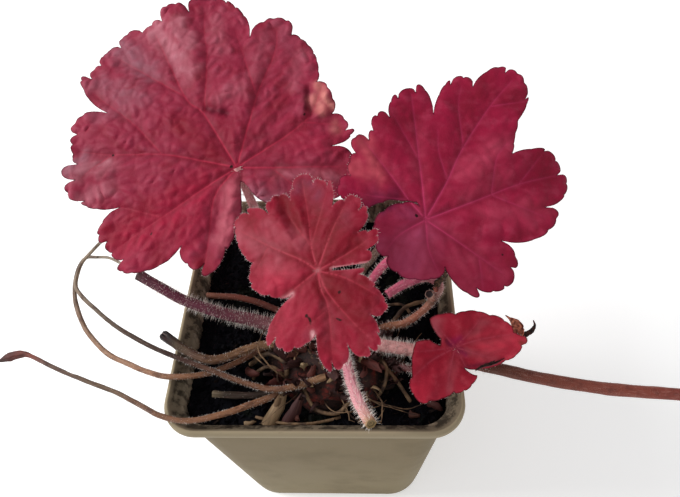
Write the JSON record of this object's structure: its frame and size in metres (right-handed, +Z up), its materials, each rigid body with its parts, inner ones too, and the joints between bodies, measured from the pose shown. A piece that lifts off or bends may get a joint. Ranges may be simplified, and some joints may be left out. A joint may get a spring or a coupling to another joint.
{
  "type": "potted heuchera plant",
  "caption": "Young red-leaved garden perennial with lobed leaves, hairy stalks and trailing dry stems in a square tapered nursery pot.",
  "frame": {"origin": "centre of the pot's underside, on the surface it stands on", "axes": "+Z up, -Y the front of the pot, +X to the right towards the long red stem"},
  "size_m": [0.2225, 0.1356, 0.1586],
  "materials": {
    "pot_plastic": "thin moulded taupe plastic, satin",
    "potting_soil": "damp peat and bark, matt and crumbly",
    "rootstock": "rough woody stock with papery rust-brown scales",
    "leaf_left": "dark red leaf with a faint waxy sheen and sunk veins",
    "leaf_right": "dark red leaf with a faint waxy sheen and sunk veins",
    "leaf_front": "dark red leaf with a faint waxy sheen and sunk veins",
    "leaf_folded": "dark red leaf with a faint waxy sheen and sunk veins",
    "pink_stalk": "fresh pink stalk with fine white hairs",
    "pale_stalk": "pale pink stalk with dense white hairs",
    "purple_stalk": "dull purple stalk with long white hairs",
    "red_stem": "red-brown stem with a fine short fuzz",
    "brown_stalk": "dry brown stalk, wrinkled along its length",
    "dry_stem": "dead straw-brown stem, wrinkled"
  },
  "bodies": {
    "root": {"pot": "pot_plastic", "soil": "potting_soil", "crown": "rootstock", "leaf_left": "leaf_left", "leaf_right": "leaf_right", "leaf_front": "leaf_front", "leaf_folded": "leaf_folded", "stalk_left": "pink_stalk", "stalk_right": "pink_stalk", "stalk_front": "pink_stalk", "stalk_folded": "pink_stalk", "stub_hook": "pink_stalk", "stub_front": "pale_stalk", "stub_long": "purple_stalk", "flower_stem": "red_stem", "stub_smooth": "brown_stalk", "stub_dry": "brown_stalk", "stub_thin": "brown_stalk", "stub_olive": "brown_stalk", "dry_stem_inner": "dry_stem", "dry_stem_outer": "dry_stem", "dry_stem_low": "dry_stem"}
  },
  "joints": []
}
